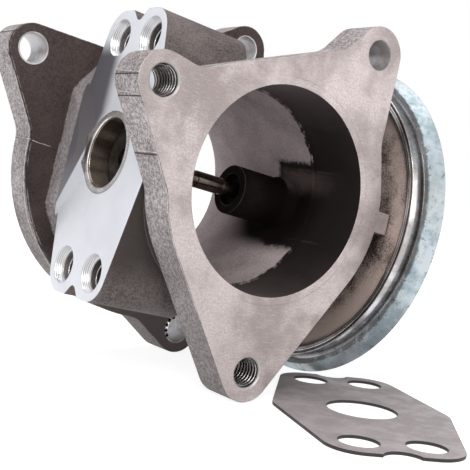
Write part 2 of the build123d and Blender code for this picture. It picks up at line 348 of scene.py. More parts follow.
# fades: from, to, and the values there if they aren't 0 and 1
castFade = {
    "coarse": (0.38, 0.62),
    "speckle": (0.34, 0.66),
    "shadowTop": (0.008, -0.006),
    "shadowFoot": (-0.038, -0.024),
    "paleFoot": (-0.028, -0.040),
    "sideFoot": (0.0, -0.040, 0.0, 0.62),
    "rearTop": (-0.004, 0.026, 0.15, 0.6),
    "rearFoot": (-0.028, -0.042, 0.0, 0.8),
    "bellNeckShade": (0.032, 0.0385, -0.20, 0.50),
    "bellFoot": (-0.012, -0.030, 0.0, 0.75),
    "bellBlotch": (0.38, 0.62, -0.12, 0.12),
    "bellRimShade": (0.0424, 0.0402, 0.1, 1.0),
    "burr": (0.42, 0.60),
    "coreStep": (0.0199, 0.0207),
    "besideBoss": (0.0138, 0.0122),
    "behindBoss": (0.0375, 0.0345),
    "ductFar": (0.014, 0.0285, 0.0, 0.5),
    "ductShadeSides": (0.013, 0.027, 0.0, 0.45),
    "smoothNear": (0.020, -0.014, 0.0, 0.45),
    "smoothSides": (0.010, 0.024),
    "smoothCloud": (0.40, 0.60, 0.2, 0.5),
    "seamStart": (0.008, 0.016),
    "seamEnd": (0.036, 0.030),
    "seamWear": (0.35, 0.62, 0.15, 0.6),
    "shelfFoot": (0.002, 0.0085),
    "shelfTop": (0.0118, 0.0095),
    "shelfStart": (0.004, 0.030),
    "shelfEnd": (0.0355, 0.0325),
    "shelfCloud": (0.35, 0.60, 0.35, 0.8),
    "bossShadowRound": (0.024, 0.012),
    "bossShadowTop": (0.006, 0.002),
    "bossShadowFoot": (-0.017, -0.011),
    "bossPale": (0.022, 0.010),
    "smear": (0.41, 0.59),
    "brightStrokes": (0.52, 0.70, 0.0, 0.22),
    "darkStrokes": (0.46, 0.28, 0.0, 0.26),
    "fleckPatches": (0.40, 0.60),
    "darkGrain": (0.58, 0.38, 0.0, 0.26),
    "imprint": (0.36, 0.56),
    "wornMilling": (0.40, 0.60),
    "shadeWidth": (-0.002, 0.014, 0.0009, 0.0065),
    "shadeEdge": (-0.5, 0.5),
    "shadeTop": (0.034, 0.027),
    "shadePale": (0.001, -0.014),
    "turned": (0.42, 0.60),
    "rimReflectionBands": (-0.2, 0.9, 0.0, 0.6),
    "sinkRings": (0.0, 1.0, 0.0, 0.6),
}

# lines turned by a tool, as radians per metre
turnedLines = {"rimRipple": 6100.0, "rim": 15000.0, "sink": 11000.0, "seat": 15000.0, "metal": 9000.0}


def fade(value, name):
    return ramp(value, *castFade[name])


def castMix(amount, first, second):
    return colourMix(amount, castLook[first], castLook[second])


def tint(tone, amount, name):
    return colourMix(amount, tone, castLook[name])


# Coordinates, noises and masks that every part of the casting's finish uses
def castingZones():
    zone = SimpleNamespace()
    zone.place, x, y, z = castingAxes()
    nx, ny = castingAxes("Normal")[1:3]
    zone.x, zone.y, zone.z = x, y, z
    zone.fromDuct = away(x, z)
    zone.fromStem = away(y, z, stemAcross)
    zone.softNormal, zone.worn = softEdges(0.0004)
    for name, settings in castNoise.items():
        setattr(zone, name, noise(zone.place, *settings))
    zone.coarse = fade(zone.coarse, "coarse")
    zone.wobble = (zone.jagged - 0.5) * 0.0042
    zone.speckle = fade(zone.blotch * 0.42 + zone.grain * 0.58, "speckle")
    zone.height = abs(z)

    frontFace = allOf(below(ny, -0.98), within(y, *castAt["frontPlane"]))
    zone.flat = anyOf(frontFace, allOf(above(ny, 0.98), above(y, castAt["rearPlane"])))
    proud = calc("MINIMUM", x + castAt["padPlane"], 0.0)
    zone.padY = y - proud * castAt["padSlope"]
    pastShoulder = calc("MAXIMUM", zone.height - castAt["padShoulder"], 0.0)
    padLimit = castAt["padEnd"] - pastShoulder * castAt["padTaper"]
    pad = within(y, *castAt["padAlong"])
    onPad = allOf(below(nx, -0.70), below(x, castAt["padFront"]), pad)
    zone.inletFace = allOf(onPad, below(zone.padY, padLimit))
    zone.onSwelling = allOf(zone.inletFace, above(nx, -0.985))
    offFace = allOf(notThis(zone.flat), notThis(zone.inletFace))
    zone.fromSink = away(abs(y - stemAcross), zone.height, *castAt["sinkFromMiddle"])
    inSink = below(zone.fromSink, castAt["sinkRadius"])
    zone.sinks = allOf(inSink, below(x, castAt["sinkFloor"]), offFace)
    inThread = below(zone.fromSink, castAt["threadRadius"])
    zone.deep = allOf(inThread, within(x, *castAt["threadDepth"]))
    zone.clearHoles = 0.0
    zone.tapped = 0.0
    for holeX, holeZ, inFront, threaded in flangeHoles:
        flange = below(y, castAt["frontHoles"]) if inFront else above(y, castAt["rearHoles"])
        inHole = allOf(below(away(x, z, holeX, holeZ), castAt["holeRadius"]), flange, offFace)
        kind = "tapped" if threaded else "clearHoles"
        setattr(zone, kind, calc("MAXIMUM", inHole, getattr(zone, kind)))
    zone.rim = allOf(within(x, *castAt["rimAlong"]), above(zone.fromStem, castAt["rimRadius"]))
    zone.inBore = allOf(below(zone.fromDuct, castAt["boreRadius"]), notThis(zone.flat))
    zone.flangeSide = anyOf(below(y, castAt["frontEdge"]), above(y, castAt["rearEdge"]))
    onTab = allOf(below(y, castAt["tabDepth"]), within(z, *castAt["tabAcross"]))
    onTab = onTab * below(x, castAt["tabEnd"])
    bell = allOf(above(x, castAt["bellFront"]), notThis(zone.flangeSide))
    bell = anyOf(above(x, castAt["bellBack"]), bell)
    bell = bell * above(zone.fromStem, castAt["bellRadius"])
    zone.bell = allOf(bell, notThis(zone.rim), notThis(onTab))
    zone.rearFront = allOf(below(ny, -0.9), within(y, *castAt["rearFront"]))
    zone.boss = allOf(below(zone.fromStem, castAt["bossRadius"]), within(x, *castAt["bossAlong"]))
    zone.polished = anyOf(zone.rim, zone.sinks)
    holes = anyOf(zone.sinks, zone.deep, zone.clearHoles, zone.tapped)
    zone.machined = anyOf(zone.flat, zone.inletFace, zone.rim, holes)
    return zone


# Rough cast skin: finely speckled, paler on the flange sides, dark brown on the bell, with painted shade by
# the bell's neck and inside its rim
def castSkin(zone):
    x, y, z = zone.x, zone.y, zone.z
    cast = castMix(zone.speckle, "bodyDark", "bodyPale")
    cast = tint(cast, allOf(fade(z, "shadowTop"), fade(z, "shadowFoot"), 0.9), "bodyDark")
    cast = tint(cast, allOf(fade(z, "paleFoot"), zone.coarse, 0.75), "edgeDark")
    neckSide = allOf(below(x, castAt["neckStart"]), within(y, *castAt["neckAlong"]))
    cast = tint(cast, allOf(neckSide, valueMix(zone.coarse, 0.45, 1.0)), "neckPale")

    onSide = castMix(zone.speckle, "edgeDark", "edgePale")
    onSide = tint(onSide, fade(z, "sideFoot"), "edgeDark")
    onSide = tint(onSide, notThis(zone.coarse) * 0.52, "fleckAndShadeDark")
    cast = colourMix(zone.flangeSide, cast, onSide)

    # the rear flange's front face, between the flanges: speckled cast darkened as painted shade, paler
    # towards the top and the foot
    rear = castMix(zone.speckle, "rearDark", "rearPale")
    rear = tint(rear, allOf(fade(z, "rearTop"), valueMix(zone.coarse, 0.5, 1.0)), "rearTop")
    rear = tint(rear, fade(z, "rearFoot"), "bodyPale")
    cast = colourMix(zone.rearFront, cast, rear)

    # the bell: speckled and blotched, paler towards the foot, with painted shade by its neck and in the
    # groove inside its rim
    bellToneAndShade = zone.speckle * 1.1 - 0.32 + fade(zone.fromStem, "bellNeckShade")
    bellToneAndShade = bellToneAndShade + fade(z, "bellFoot") + fade(zone.blotch, "bellBlotch")
    bellToneAndShade = bellToneAndShade * fade(zone.fromStem, "bellRimShade")
    cast = colourMix(zone.bell, cast, castMix(bellToneAndShade, "bellDark", "bellPale"))

    # the torn rear edge; dark lines of painted shade beside the creases' flash and along the parting line;
    # and bright burrs
    torn = allOf(zone.flangeSide, within(y + zone.wobble * 1.1, *castAt["tornEdge"]))
    cast = tint(cast, allOf(torn, below(x, 0.0), notThis(zone.rearFront)), "rearDark")
    creaseZ = z + zone.wobble * 0.12
    onFront = anyOf(*[within(creaseZ, *line) for line in castAt["frontCreases"]])
    onFront = allOf(onFront, below(y, castAt["frontHoles"]))
    onRear = allOf(within(creaseZ, *castAt["rearCrease"]), above(y, castAt["rearHoles"]))
    creaseShade = anyOf(within(creaseZ, *castAt["parting"]), onFront, onRear)
    creaseShade = allOf(creaseShade, below(x, 0.0), zone.flangeSide, notThis(zone.rearFront))
    cast = tint(cast, creaseShade * 0.85, "rearDark")
    burr = allOf(zone.worn, fade(zone.jagged, "burr"), zone.flangeSide)
    cast = tint(cast, burr * 0.8, "bright")
    elsewhere = allOf(zone.worn, notThis(zone.flangeSide), notThis(zone.inBore), 0.3)
    return tint(cast, elsewhere, "edgePale")


# Inside the duct: smooth and black up to the core's step and round the boss, rough and grey behind; the
# black round the boss is painted shadow of the boss, and the grey is darkened towards the duct's top and
# bottom as painted shade
def ductSkin(zone):
    x, z, height = zone.x, zone.z, zone.height
    raggedY = zone.y + zone.wobble
    raggedZ = z + zone.wobble
    farSide = above(x, castAt["coreSide"])
    # beside and behind the boss the wall is made smooth and painted black as the boss's shadow
    besideBossShade = allOf(fade(height + zone.wobble, "besideBoss"), farSide)
    besideBossShade = besideBossShade * fade(raggedY, "behindBoss")
    zone.rough = fade(raggedY, "coreStep") * notThis(besideBossShade)
    grey = castMix(fade(zone.blotch * 0.4 + zone.grain * 0.6, "speckle"), "ductMid", "ductPale")
    grey = tint(grey, fade(x + zone.wobble, "ductFar"), "ductMid")
    # the grey darkened towards the duct's top and bottom as painted shade
    grey = tint(grey, fade(height, "ductShadeSides"), "ductShade")
    smooth = castMix(fade(x, "smoothNear"), "ductDark", "ductMid")
    smooth = tint(smooth, allOf(fade(height, "smoothSides"), fade(zone.cloud, "smoothCloud")), "seam")
    duct = colourMix(zone.rough, smooth, grey)

    seamZ = z + zone.wobble * 0.35
    seams = anyOf(*[within(seamZ, *line) for line in castAt["seams"]])
    seams = allOf(seams, fade(zone.y, "seamStart"), fade(zone.y, "seamEnd"), farSide)
    duct = tint(duct, allOf(seams, fade(zone.fineCloud, "seamWear")), "seam")
    shelf = allOf(fade(raggedZ, "shelfFoot"), fade(raggedZ, "shelfTop"), fade(raggedY, "shelfStart"))
    shelf = allOf(shelf, fade(raggedY, "shelfEnd"), farSide, fade(zone.cloud, "shelfCloud"))
    duct = tint(duct, shelf, "shelf")
    # painted shadow of the boss: black round it on the far wall, in a band across its middle
    shadowRoundBoss = allOf(fade(zone.fromStem, "bossShadowRound"), fade(raggedZ, "bossShadowTop"))
    shadowRoundBoss = shadowRoundBoss * above(x, castAt["bossFront"])
    return tint(duct, shadowRoundBoss * fade(z, "bossShadowFoot"), "bossDark")


def bossSkin(zone):
    onBoss = castMix(zone.speckle * fade(zone.x, "bossPale"), "bossDark", "bossPale")
    # two notches in the boss's face, painted dark as the shade inside them
    notchAt, notchHalf = castAt["notch"]
    notchShade = allOf(below(abs(zone.y - notchAt), notchHalf), below(zone.x, castAt["bossFace"]))
    onBoss = tint(onBoss, notchShade * 0.9, "bossDark")
    return tint(onBoss, allOf(zone.worn, below(zone.x, castAt["bossFront"]), 0.4), "ductMid")


# Milled faces: clouded, with short cutter strokes, a ring pressed by the seal and bright handling marks
def milledSkin(zone):
    milled = castMix(zone.smear, "milledDull", "milled")
    milled = tint(milled, fade(zone.strokes, "brightStrokes"), "bright")
    milled = tint(milled, fade(zone.strokes, "darkStrokes"), "edgeDark")
    flecks = allOf(notThis(zone.coarse), fade(zone.blotch, "fleckPatches"), 0.14)
    milled = tint(milled, flecks, "fleckAndShadeDark")
    milled = tint(milled, fade(zone.grain, "darkGrain"), "edgeDark")
    imprint = allOf(within(zone.fromDuct, *castAt["sealRing"]), above(zone.x, castAt["sealSide"]))
    imprint = allOf(imprint, fade(zone.jagged, "imprint"))
    milled = tint(milled, imprint * 0.35, "edgeDark")
    milled = tint(milled, allOf(zone.worn, fade(zone.jagged, "wornMilling"), 0.7), "bright")
    milled = colourMix(zone.inletFace, milled, inletSkin(zone))

    turnedTone = castMix(fade(zone.blotch, "turned"), "turnedDull", "turned")
    milled = colourMix(anyOf(zone.rim, zone.clearHoles), milled, turnedTone)
    # dark rings on the rim: painted shade at its inner edge and in the groove by its step, and painted
    # reflection bands round the turned face
    rimShadeLines = anyOf(within(zone.fromStem, *castAt["rimLine"]), below(zone.fromStem, castAt["rimStep"]))
    rimReflectionBands = fade(calc("SINE", zone.fromStem * turnedLines["rimRipple"]), "rimReflectionBands")
    milled = tint(milled, allOf(anyOf(rimShadeLines * 0.85, rimReflectionBands), zone.rim), "bodyDark")
    sinkTone = castMix(fade(zone.sinkWave, "sinkRings"), "sink", "sinkRing")
    milled = colourMix(zone.sinks, milled, sinkTone)
    # the tapped holes and the inlet's deep holes painted dark as their shade, with a turned chamfer at the
    # tapped holes' mouths
    milled = tint(milled, zone.tapped, "holeShade")
    milled = tint(milled, allOf(zone.tapped, below(zone.y, castAt["chamferDepth"])), "chamfer")
    return tint(milled, zone.deep, "holeShade")


# The exhaust inlet's bright face, with a painted reflection of a dark room in a slanting band along its rear
# edge, and its swelling darkened as painted shade
def inletSkin(zone):
    z = zone.z
    inletTone = castMix(zone.smear, "inletDull", "inlet")
    lineAt, lineSlope, lineLeast = castAt["shadeLine"]
    shadeLine = calc("MAXIMUM", lineAt - z * lineSlope, lineLeast)
    shade = (zone.padY - shadeLine) / fade(z, "shadeWidth")
    zone.shade = allOf(fade(shade, "shadeEdge"), zone.inletFace, fade(z, "shadeTop"))
    # the swelling darkened as painted shade, in the bright face and in the band
    inletTone = tint(inletTone, zone.onSwelling * 0.55, "shadePale")
    shadeTone = castMix(fade(z, "shadePale"), "shade", "shadePale")
    shadeTone = tint(shadeTone, zone.onSwelling * 0.45, "fleckAndShadeDark")
    return colourMix(zone.shade, inletTone, shadeTone)


# Cast grain, cutter strokes on the flat faces, turned lines on the rim and in the holes
def castingHeight(zone):
    skin = zone.grain * 1.3 + zone.fineCloud * 0.8
    skin = skin * (1.0 - zone.inBore * notThis(zone.rough) * 0.6)
    rimLines = allOf(calc("SINE", zone.fromStem * turnedLines["rim"]), zone.rim, 0.03)
    sinkLines = (zone.sinkWave * 0.22 + zone.intoSink * 2000.0) * zone.sinks
    cutter = (zone.strokes + zone.grain) * (zone.flat * 0.16)
    milled = rimLines + sinkLines + cutter + zone.fineCloud * 0.008
    return valueMix(zone.machined, skin, milled)


def castingMaterial():
    mat, shader = startMaterial("castingFinish")
    zone = castingZones()
    zone.smear = fade(zone.cloud * 0.6 + zone.blotch * 0.4, "smear")
    cutterWay = stretched(zone.place, (0.0, math.radians(52), 0.0), (420.0, 420.0, 2600.0))
    zone.strokes = noise(cutterWay, 1.0, 3.0, 0.6)
    zone.intoSink = zone.x + zone.fromSink
    zone.sinkWave = calc("SINE", zone.intoSink * turnedLines["sink"])

    cast = colourMix(zone.inBore, castSkin(zone), ductSkin(zone))
    cast = colourMix(zone.boss, cast, bossSkin(zone))
    plug(shader.inputs["Base Color"], colourMix(zone.machined, cast, milledSkin(zone)))

    gloss = valueMix(anyOf(zone.inBore, zone.boss), 0.2, 0.04)
    plug(shader.inputs["Specular IOR Level"], gloss)
    castRough = valueMix(zone.inBore, valueMix(zone.grain, 0.50, 0.76), 0.85)
    millRough = valueMix(zone.inletFace, valueMix(zone.smear, 0.50, 0.40), 0.34)
    millRough = valueMix(anyOf(zone.clearHoles, zone.tapped), millRough, 0.42)
    millRough = valueMix(zone.polished, millRough, valueMix(zone.sinks, 0.20, 0.34))
    plug(shader.inputs["Roughness"], valueMix(zone.machined, castRough, millRough))
    metal = valueMix(zone.polished, 0.5, 0.95)
    metal = valueMix(anyOf(zone.shade, zone.onSwelling), metal, 0.1)
    plainCast = valueMix(zone.inBore, 0.25, 0.0)
    plug(shader.inputs["Metallic"], valueMix(zone.machined, plainCast, metal))
    bump(shader, castingHeight(zone), 0.6, 0.00032, zone.softNormal)
    return mat


# Steel, plated or bronze pieces: two tones in patches, fine grain, lines along and round the stem
def metalMaterial(name, look):
    mat, shader = startMaterial(name)
    place, x, y, z = castingAxes()
    softNormal, worn = softEdges(0.0003)
    mottle = patches(place, look["patchScale"], 4.0, 0.6, 0.38, 0.62)
    grain = noise(place, 2200.0, 2.0, 0.6)
    colour = colourMix(mottle, look["dark"], look["pale"])
    colour = colourMix(ramp(grain, 0.52, 0.40) * look["speckle"], colour, look["speck"])
    colour = colourMix(worn * 0.5, colour, look["edge"])
    plug(shader.inputs["Base Color"], colour)
    smoothest, roughest = look["rough"]
    plug(shader.inputs["Roughness"], valueMix(mottle, roughest, smoothest))
    shader.inputs["Metallic"].default_value = look["metallic"]
    shader.inputs["Specular IOR Level"].default_value = look.get("gloss", 0.5)
    along = calc("SINE", x * turnedLines["metal"])
    aroundStem = calc("SINE", away(y, z, stemAcross) * turnedLines["metal"])
    height = (along + aroundStem) * look["lines"] + grain * look["grain"]
    bump(shader, height, 0.4, 0.0002, softNormal)
    return mat


metalLooks = {
    "valveSteel": {
        "dark": (0.070, 0.052, 0.042, 1), "pale": (0.135, 0.108, 0.092, 1), "speck": (0.02, 0.015, 0.012, 1),
        "edge": (0.30, 0.25, 0.22, 1), "speckle": 0.2, "patchScale": 110.0, "rough": (0.18, 0.28),
        "metallic": 0.95, "lines": 0.06, "grain": 0.25,
    },
    "bronzeBush": {
        "dark": (0.22, 0.125, 0.055, 1), "pale": (0.44, 0.28, 0.13, 1), "speck": (0.06, 0.04, 0.02, 1),
        "edge": (0.60, 0.42, 0.24, 1), "speckle": 0.5, "patchScale": 200.0, "rough": (0.38, 0.55),
        "metallic": 0.9, "lines": 0.05, "grain": 0.5,
    },
    "plateSteel": {
        "dark": (0.36, 0.41, 0.42, 1), "pale": (0.60, 0.65, 0.65, 1), "speck": (0.12, 0.12, 0.11, 1),
        "edge": (0.70, 0.72, 0.72, 1), "speckle": 0.3, "patchScale": 120.0, "rough": (0.30, 0.46),
        "metallic": 0.8, "lines": 0.02, "grain": 0.4,
    },
    "springSteel": {
        "dark": (0.20, 0.20, 0.22, 1), "pale": (0.42, 0.42, 0.44, 1), "speck": (0.05, 0.05, 0.05, 1),
        "edge": (0.55, 0.55, 0.57, 1), "speckle": 0.25, "patchScale": 180.0, "rough": (0.28, 0.40),
        "metallic": 0.95, "lines": 0.0, "grain": 0.3,
    },
    "sootySteel": {
        "dark": (0.006, 0.005, 0.0045, 1), "pale": (0.022, 0.018, 0.015, 1),
        "speck": (0.004, 0.003, 0.003, 1), "edge": (0.06, 0.05, 0.042, 1), "speckle": 0.5,
        "patchScale": 150.0, "rough": (0.50, 0.70), "metallic": 0.0, "lines": 0.06,
        "grain": 0.4, "gloss": 0.08,
    },
    "insertSteel": {
        "dark": (0.34, 0.32, 0.31, 1), "pale": (0.78, 0.76, 0.75, 1), "speck": (0.08, 0.065, 0.06, 1),
        "edge": (0.90, 0.88, 0.87, 1), "speckle": 0.2, "patchScale": 420.0, "rough": (0.20, 0.32),
        "metallic": 0.95, "lines": 0.0, "grain": 0.3,
    },
    "flashAlloy": {
        "dark": (0.34, 0.31, 0.30, 1), "pale": (0.66, 0.62, 0.60, 1), "speck": (0.10, 0.085, 0.08, 1),
        "edge": (0.78, 0.75, 0.73, 1), "speckle": 0.4, "patchScale": 600.0, "rough": (0.34, 0.52),
        "metallic": 0.5, "lines": 0.0, "grain": 0.6,
    },
}

seatLook = {
    "ring": (0.74, 0.71, 0.69, 1.0),
    "ringDull": (0.50, 0.47, 0.45, 1.0),
    "bore": (0.20, 0.150, 0.125, 1.0),
    "boreWarm": (0.92, 0.77, 0.66, 1.0),
    "seam": (0.03, 0.024, 0.02, 1.0),
    "boreRadius": 0.00985,
    "boreArris": 0.00965,
    "pressedIn": 0.01142,
    "mottle": (260.0, 4.0, 0.6, 0.38, 0.62),
    "streaks": (25.0, 190.0, 190.0),
    "boreStreaksAndShade": (0.36, 0.66),
    "boreShadeSlope": -14.0,
}


# Seat ring: turned grey face, a dark seam where it is pressed in, a bore streaked brown, darker towards the
# top and paler towards the bottom as painted shade
def seatMaterial():
    mat, shader = startMaterial("seatFinish")
    place, _, y, z = castingAxes()
    softNormal, worn = softEdges(0.0003)
    fromStem = away(y, z, stemAcross)
    inBore = below(fromStem, seatLook["boreRadius"])
    mottle = patches(place, *seatLook["mottle"])
    face = colourMix(mottle, seatLook["ringDull"], seatLook["ring"])
    streaks = noise(stretched(place, (0.0, 0.0, 0.0), seatLook["streaks"]), 1.0, 3.0, 0.5)
    boreStreaksAndShade = ramp(streaks + z * seatLook["boreShadeSlope"], *seatLook["boreStreaksAndShade"])
    bore = colourMix(boreStreaksAndShade, seatLook["bore"], seatLook["boreWarm"])
    colour = colourMix(inBore, face, bore)
    arris = within(fromStem, seatLook["boreArris"], seatLook["boreRadius"])
    seam = anyOf(above(fromStem, seatLook["pressedIn"]), arris)
    colour = colourMix(seam * 0.8, colour, seatLook["seam"])
    colour = colourMix(worn * 0.35, colour, seatLook["ring"])
    plug(shader.inputs["Base Color"], colour)
    plug(shader.inputs["Roughness"], valueMix(inBore, valueMix(mottle, 0.36, 0.24), 0.2))
    shader.inputs["Metallic"].default_value = 0.9
    turned = calc("SINE", fromStem * turnedLines["seat"]) * 0.12
    height = turned + noise(place, 1900.0) * 0.4
    bump(shader, height, 0.4, 0.0002, softNormal)
    return mat


canLook = {
    "pale": (0.53, 0.60, 0.64, 1.0),
    "tint": (0.30, 0.375, 0.41, 1.0),
    "warm": (0.55, 0.54, 0.51, 1.0),
    "speck": (0.060, 0.052, 0.044, 1.0),
    "lipEdge": 0.0432,
    "lipMarks": 0.0022,
    "lipShadowWidth": 0.0006,
    "skirtEdge": 0.0490,
    "skirtMarks": 0.0026,
    "skirtBorder": 0.0008,
    "cloud": (95.0, 6.0, 0.75, 0.40, 0.60),
    "warmth": (52.0, 4.0, 0.62, 0.50, 0.68),
    "specks": (700.0, 4.0, 0.75, 0.55, 0.64),
    "ragged": (330.0, 4.0, 0.7),
    "raggedBy": 0.0022,
    "fine": (1700.0, 2.0, 0.6),
    "waves": (120.0, 2.0, 0.5),
}


# Zinc plate, pale blue-green and mottled, with dark marks along the crimped edges and a painted shadow at
# the lip's crimp
def canMaterial():
    mat, shader = startMaterial("canFinish")
    place, x = castingAxes()[:2]
    cloud = patches(place, *canLook["cloud"])
    colour = colourMix(cloud, canLook["tint"], canLook["pale"])
    warmth = patches(place, *canLook["warmth"])
    colour = colourMix(warmth * 0.65, colour, canLook["warm"])
    specks = patches(place, *canLook["specks"])
    x = x + (noise(place, *canLook["ragged"]) - 0.5) * canLook["raggedBy"]
    lip, skirt = canLook["lipEdge"], canLook["skirtEdge"]
    nearLip = ramp(x, lip + canLook["lipMarks"], lip)
    edge = anyOf(nearLip, ramp(x, skirt - canLook["skirtMarks"], skirt))
    # painted shadow along the lip's crimp
    lipShadow = ramp(x, lip + canLook["lipShadowWidth"], lip)
    edgeLineAndShadow = anyOf(lipShadow, ramp(x, skirt - canLook["skirtBorder"], skirt))
    marks = anyOf(specks * calc("ADD", 0.26, edge * 0.70), edgeLineAndShadow * 0.7)
    plug(shader.inputs["Base Color"], colourMix(marks, colour, canLook["speck"]))
    shader.inputs["Metallic"].default_value = 0.6
    plug(shader.inputs["Roughness"], valueMix(cloud, 0.46, 0.34) + marks * 0.3)
    height = noise(place, *canLook["fine"]) * 0.25 + noise(place, *canLook["waves"]) * 0.9
    bump(shader, height, 0.35, 0.0004, softEdges(0.0004)[0])
    return mat


rubberLook = {
    "base": (0.018, 0.018, 0.019, 1.0),
    "dust": (0.07, 0.066, 0.06, 1.0),
    "dustPatches": (140.0, 4.0, 0.6, 0.45, 0.75),
    "weave": 5200.0,
    "sealWeave": 9000.0,
}


# Black rubber or graphite, dusty, with the weave of its cloth showing
def rubberMaterial(name, weave):
    mat, shader = startMaterial(name)
    place, _, y, z = castingAxes()
    dust = patches(place, *rubberLook["dustPatches"])
    plug(shader.inputs["Base Color"], colourMix(dust, rubberLook["base"], rubberLook["dust"]))
    plug(shader.inputs["Roughness"], valueMix(dust, 0.55, 0.8))
    across = calc("SINE", y * weave)
    upward = calc("SINE", z * weave)
    height = across * upward + noise(place, 1500.0, 2.0, 0.6)
    bump(shader, height, 0.35, 0.0001)
    return mat


gasketLook = {
    "pale": (0.43, 0.385, 0.39, 1.0),
    "dark": (0.32, 0.283, 0.286, 1.0),
    "fleck": (0.54, 0.495, 0.495, 1.0),
    "edge": (0.030, 0.024, 0.024, 1.0),
    "cloud": (120.0, 5.0, 0.65, 0.38, 0.62),
    "flecks": (1300.0, 3.0, 0.65, 0.55, 0.66),
    "fibres": (1500.0, 3.0, 0.6),
}


# Pressed fibre sheet: pale flat sides with flecks, dark cut edges
def gasketMaterial():
    mat, shader = startMaterial("gasketFinish")
    coord = newNode("TexCoord")
    place = output(coord, "Object")
    facing = splitVector(output(coord, "Normal"))[2]
    softNormal, worn = softEdges(0.0003)
    side = ramp(abs(facing), 0.8, 0.3)
    cloud = patches(place, *gasketLook["cloud"])
    fleck = patches(place, *gasketLook["flecks"])
    colour = colourMix(cloud, gasketLook["dark"], gasketLook["pale"])
    colour = colourMix(fleck * 0.35, colour, gasketLook["fleck"])
    colour = colourMix(anyOf(side, worn * 0.8), colour, gasketLook["edge"])
    plug(shader.inputs["Base Color"], colour)
    shader.inputs["Metallic"].default_value = 0.2
    plug(shader.inputs["Roughness"], valueMix(cloud, 0.62, 0.5))
    bump(shader, noise(place, *gasketLook["fibres"]), 0.3, 0.0001, softNormal)
    return mat


threadLook = {
    "crest": (0.80, 0.77, 0.75, 1.0),
    "crestDull": (0.46, 0.43, 0.41, 1.0),
    "root": (0.012, 0.010, 0.009, 1.0),
    "mottle": (450.0, 3.0, 0.6, 0.38, 0.62),
}


# Ridges with bright crests and roots painted dark as their shade, by the distance from the nearest hole's
# axis
def threadMaterial(name, inlet, crestAt, rootAt):
    mat, shader = startMaterial(name)
    place, x, y, z = castingAxes()
    if inlet:
        pairAcross = abs(y - stemAcross)
        fromAxis = away(pairAcross, abs(z), *castAt["sinkFromMiddle"])
    else:
        fromAxis = 1.0
        for holeX, holeZ, _, threaded in flangeHoles:
            if threaded:
                fromAxis = calc("MINIMUM", away(x, z, holeX, holeZ), fromAxis)
    mottle = patches(place, *threadLook["mottle"])
    crest = colourMix(mottle, threadLook["crestDull"], threadLook["crest"])
    colour = colourMix(ramp(fromAxis, crestAt, rootAt), crest, threadLook["root"])
    plug(shader.inputs["Base Color"], colour)
    plug(shader.inputs["Roughness"], valueMix(mottle, 0.34, 0.22))
    shader.inputs["Metallic"].default_value = 0.9
    bump(shader, noise(place, 2200.0, 2.0, 0.6), 0.3, 0.0001)
    return mat


def dress(node, material):
    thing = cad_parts[node]
    thing.data.materials.clear()
    thing.data.materials.append(material)


madeMetals = {name: metalMaterial(name, look) for name, look in metalLooks.items()}
dress("duct_casting", castingMaterial())
dress("seat_ring", seatMaterial())
dress("vacuum_can", canMaterial())
dress("exhaust_gasket", gasketMaterial())
softRubber = rubberMaterial("diaphragmRubber", rubberLook["weave"])
dress("diaphragm", softRubber)
dress("stem_seal", rubberMaterial("sealGraphite", rubberLook["sealWeave"]))
finishOf = {
    "stem_scraper": "sootySteel",
    "valve_head": "sootySteel",
    "valve_stem": "valveSteel",
    "stem_spacer": "plateSteel",
    "guide_bush": "bronzeBush",
    "seal_cap": "plateSteel",
    "lower_plate": "plateSteel",
    "upper_plate": "plateSteel",
    "lock_washer": "springSteel",
    "stem_nut": "plateSteel",
    "return_spring": "springSteel",
    "spring_locator": "plateSteel",
    "vacuum_nipple": "plateSteel",
    "thread_inserts": "insertSteel",
}
for node, finish in finishOf.items():
    dress(node, madeMetals[finish])
print("materials on", len(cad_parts), "nodes")


# new pieces
# Turns a bmesh drawn in casting axes, in mm, into an object
def makePiece(mesh, name, material):
    bmesh.ops.remove_doubles(mesh, verts=mesh.verts, dist=0.0005)
    bmesh.ops.recalc_face_normals(mesh, faces=mesh.faces)
    leanInto(mesh)
    data = bpy.data.meshes.new(name)
    mesh.to_mesh(data)
    mesh.free()
    data.materials.append(material)
    for face in data.polygons:
        face.use_smooth = True
    piece = bpy.data.objects.new(name, data)
    bpy.context.scene.collection.objects.link(piece)
    return piece


def finishPiece(mesh, name, material, body):
    piece = makePiece(mesh, name, material)
    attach(piece, body)
    return piece


# Screws a closed section along an axis, round the hole's centre
def screwThread(mesh, centre, axis, radius, wire, sides, pitch, turns, spread=1.0):
    axis = Vector(axis)
    outward = Vector((0, 0, 1))
    across = axis.cross(outward)
    turn = Matrix((axis * spread, outward, across)).transposed().to_4x4()
    place = Matrix.Translation(Vector(centre) + outward * radius) @ turn
    perTurn = 28
    made = bmesh.ops.create_circle(mesh, cap_ends=True, segments=sides, radius=wire, matrix=place)
    section = made["verts"][0].link_faces[0]
    bmesh.ops.spin(
        mesh,
        geom=[section, *section.edges, *section.verts],
        cent=centre,
        axis=axis,
        dvec=axis * (pitch / perTurn),
        angle=2 * math.pi * turns,
        steps=perTurn * turns,
        use_duplicate=False,
    )


inletThreads = {
    "rows": (27.75, 44.25), "ends": (-32.5, 32.5), "start": -30.9,
    "pitch": 1.5, "turns": 9, "radius": 3.78, "wire": 0.40, "spread": 0.8,
    "crest": 0.00345, "root": 0.00385,
}
coils = bmesh.new()
for rowY in inletThreads["rows"]:
    for endZ in inletThreads["ends"]:
        screwThread(
            coils, (inletThreads["start"], rowY, endZ), (1, 0, 0), inletThreads["radius"],
            inletThreads["wire"], 4, inletThreads["pitch"], inletThreads["turns"],
            inletThreads["spread"],
        )
coilSteel = threadMaterial("coilSteel", True, inletThreads["crest"], inletThreads["root"])
insertCoils = finishPiece(coils, "insertCoils", coilSteel, "housing")
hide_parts("thread_inserts")
print("insert coils made")

